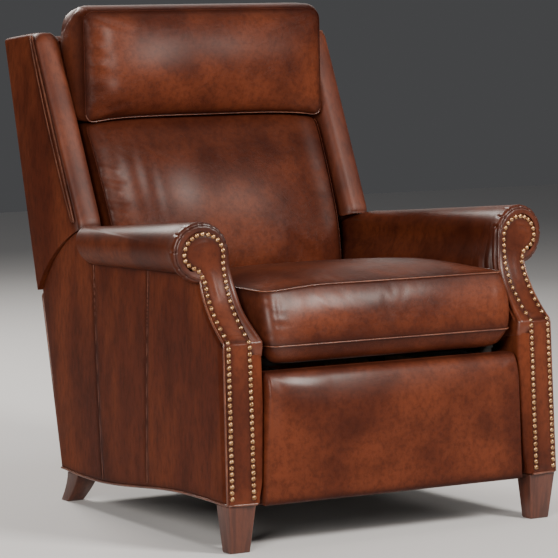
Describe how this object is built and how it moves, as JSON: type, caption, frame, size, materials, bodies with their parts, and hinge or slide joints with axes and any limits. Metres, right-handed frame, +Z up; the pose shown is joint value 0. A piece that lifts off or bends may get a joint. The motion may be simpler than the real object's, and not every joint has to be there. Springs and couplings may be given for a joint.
{
  "type": "recliner armchair",
  "caption": "Wingback push-back recliner in antiqued brown leather with scroll arms, brass nail trim, tapered wood legs, a reclining back and a footrest on scissor links",
  "frame": {"origin": "On the floor, under the middle of the closed chair's overall box", "axes": "+Z up; -Y is the direction the sitter faces; +X is the sitter's left, which is on the right of the picture"},
  "size_m": [0.9262, 1.0052, 1.094],
  "materials": {
    "body leather": "antiqued, mottled, satin",
    "cushion leather": "antiqued, mottled, satin",
    "leg wood": "reddish-brown stain, satin lacquer",
    "frame wood": "bare hardwood",
    "antique brass": "antiqued, slightly dull",
    "mechanism steel": "plain, oiled",
    "webbing": "matt woven"
  },
  "bodies": {
    "base": {"arm_side_panel_left": "body leather", "arm_side_panel_right": "body leather", "arm_frame_left": "frame wood", "arm_frame_right": "frame wood", "arm_roll_left": "body leather", "arm_roll_right": "body leather", "arm_facing_left": "body leather", "arm_facing_right": "body leather", "nail_trim_left": "antique brass", "nail_trim_right": "antique brass", "front_leg_left": "leg wood", "front_leg_right": "leg wood", "rear_leg_left": "leg wood", "rear_leg_right": "leg wood", "arm_inner_pad_left": "body leather", "arm_inner_pad_right": "body leather", "guide_rail_left": "mechanism steel", "guide_rail_right": "mechanism steel", "hinge_plate_left": "mechanism steel", "hinge_plate_right": "mechanism steel", "front_stretcher": "frame wood", "rear_rail": "frame wood", "rear_panel": "body leather"},
    "seat_carriage": {"seat_deck": "body leather", "seat_rail_left": "frame wood", "seat_rail_right": "frame wood", "carriage_angle_left": "mechanism steel", "carriage_angle_right": "mechanism steel", "mechanism_plate_left": "mechanism steel", "mechanism_plate_right": "mechanism steel", "seat_cushion": "cushion leather"},
    "lift_links": {"lift_link_left": "mechanism steel", "lift_link_right": "mechanism steel", "link_tube": "mechanism steel"},
    "cross_links": {"cross_link_left": "mechanism steel", "cross_link_right": "mechanism steel"},
    "tie_links": {"tie_link_left": "mechanism steel", "tie_link_right": "mechanism steel"},
    "footrest": {"footrest_pad": "body leather", "footrest_board": "webbing", "footrest_bracket_left": "mechanism steel", "footrest_bracket_right": "mechanism steel"},
    "back": {"back_skin": "body leather", "back_stile_left": "frame wood", "back_stile_right": "frame wood", "back_lower_rail": "frame wood", "back_top_rail": "body leather", "back_web": "webbing", "hinge_arm_left": "mechanism steel", "hinge_arm_right": "mechanism steel", "wing_left": "body leather", "wing_right": "body leather", "wing_roll_left": "body leather", "wing_roll_right": "body leather", "lumbar_cushion": "cushion leather", "headrest_cushion": "cushion leather"}
  },
  "joints": [
    {"name": "back_recline", "type": "hinge", "parent": "base", "child": "back", "pos_m": [0, 0.08371, 0.292], "axis": [-1, 0, 0], "range_deg": [0, 24]},
    {"name": "seat_slide", "type": "slide", "parent": "base", "child": "seat_carriage", "axis": [0, 1, 0], "range_m": [0, 0.045]},
    {"name": "footrest_open", "type": "hinge", "parent": "seat_carriage", "child": "lift_links", "pos_m": [0, -0.37129, 0.35], "axis": [-1, 0, 0], "range_deg": [0, 79]},
    {"name": "cross_turn", "type": "hinge", "parent": "lift_links", "child": "cross_links", "pos_m": [0, -0.38218, 0.22548], "axis": [1, 0, 0], "range_deg": [0, 158]},
    {"name": "tie_turn", "type": "hinge", "parent": "lift_links", "child": "tie_links", "pos_m": [0, -0.39308, 0.10095], "axis": [1, 0, 0], "range_deg": [0, 158]},
    {"name": "panel_turn", "type": "hinge", "parent": "cross_links", "child": "footrest", "pos_m": [0, -0.39308, 0.35], "axis": [-1, 0, 0], "range_deg": [0, 158]}
  ],
  "couplings": [
    {"joint": "seat_slide", "follows": "back_recline", "m_per_rad": 0.10742},
    {"joint": "cross_turn", "follows": "footrest_open", "ratio": 2},
    {"joint": "tie_turn", "follows": "footrest_open", "ratio": 2},
    {"joint": "panel_turn", "follows": "footrest_open", "ratio": 2}
  ]
}
